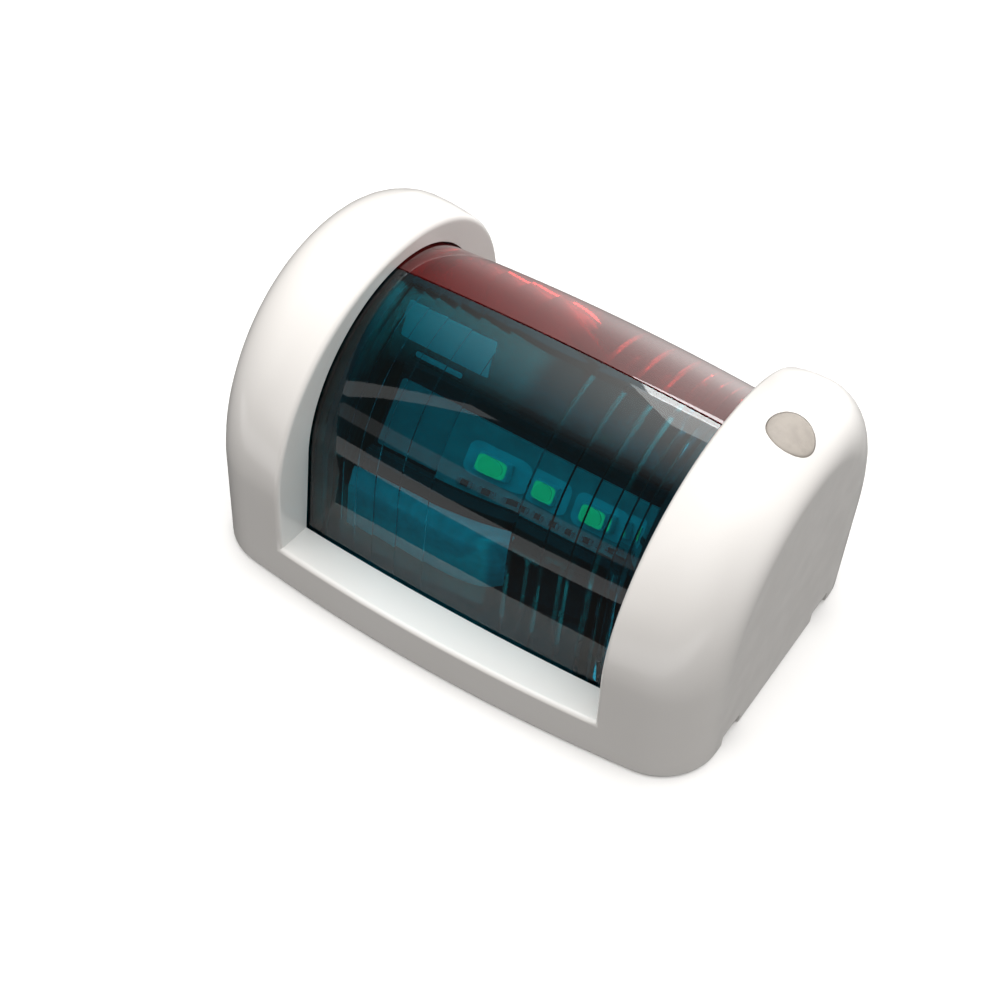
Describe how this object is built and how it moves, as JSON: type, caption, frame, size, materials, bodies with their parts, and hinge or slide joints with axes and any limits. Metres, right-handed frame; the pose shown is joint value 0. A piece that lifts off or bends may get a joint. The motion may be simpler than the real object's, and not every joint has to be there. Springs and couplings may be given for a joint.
{
  "type": "navigation light",
  "caption": "Bulkhead bi-colour navigation light: a white cover with two rounded cheeks round an arched lens, green on one side and red on the other.",
  "frame": {"origin": "centre of the mounting face, at the underside of the foam gasket", "axes": "+Z out of the mounting face towards the lens, +X towards the end with the cover screw, which is the lower end on a boat, -Y the starboard (green) side"},
  "size_m": [0.084, 0.0602, 0.0479],
  "materials": {
    "white_asa": "glossy warm white, UV-stable moulded plastic",
    "plug_grey": "matt light grey-beige soft plastic",
    "black_plastic": "black moulded plastic",
    "green_lens": "clear deep teal-green polycarbonate, polished",
    "red_lens": "clear red polycarbonate, polished",
    "seal_rubber": "black silicone rubber",
    "foam": "closed-cell foam rubber",
    "stainless": "stainless steel, bright",
    "brass": "plain brass",
    "black_anodised": "black anodised aluminium",
    "board_white": "white solder mask on laminate",
    "board_green": "green solder mask on laminate",
    "led_phosphor": "yellow phosphor under clear silicone",
    "chip_black": "black epoxy",
    "thermal_pad": "grey silicone thermal pad",
    "terminal_green": "green moulded terminal block",
    "lead_sleeve": "red insulated lead"
  },
  "bodies": {
    "base": {"base_plate": "black_plastic", "mounting_gasket": "foam", "lens_seal": "seal_rubber", "cable_grommet": "seal_rubber", "screw_insert": "brass", "lens_green": "green_lens", "lens_red": "red_lens", "led_carrier": "black_anodised", "sector_divider": "black_plastic", "end_baffle_upper": "black_plastic", "end_baffle_lower": "black_plastic", "carrier_screw_1": "stainless", "carrier_screw_2": "stainless", "carrier_screw_3": "stainless", "carrier_screw_4": "stainless", "thermal_pad_green": "thermal_pad", "thermal_pad_red": "thermal_pad", "led_board_green": "board_white", "led_board_red": "board_white", "board_rail_green": "black_plastic", "board_rail_red": "black_plastic", "led_green_1": "led_phosphor", "led_green_2": "led_phosphor", "led_green_3": "led_phosphor", "led_red_1": "led_phosphor", "led_red_2": "led_phosphor", "led_red_3": "led_phosphor", "led_lead_green": "lead_sleeve", "led_lead_red": "lead_sleeve", "driver_board": "board_green", "driver_screw_1": "stainless", "driver_screw_2": "stainless", "driver_inductor": "chip_black", "driver_capacitor": "black_anodised", "driver_chip": "chip_black", "terminal_block": "terminal_green"},
    "cover": {"cover_shell": "white_asa", "cover_screw_washer": "seal_rubber"},
    "plug": {"screw_plug": "plug_grey"},
    "screw": {"cover_screw": "stainless"}
  },
  "joints": [
    {"name": "cover_lift", "type": "slide", "parent": "base", "child": "cover", "axis": [0, 0, 1], "range_m": [0, 0.05]},
    {"name": "plug_pull", "type": "slide", "parent": "cover", "child": "plug", "axis": [0, 0, 1], "range_m": [0, 0.012]},
    {"name": "screw_turn", "type": "hinge", "parent": "cover", "child": "screw", "pos_m": [0.036, 0, 0.0138], "axis": [0, 0, 1], "continuous": true}
  ]
}
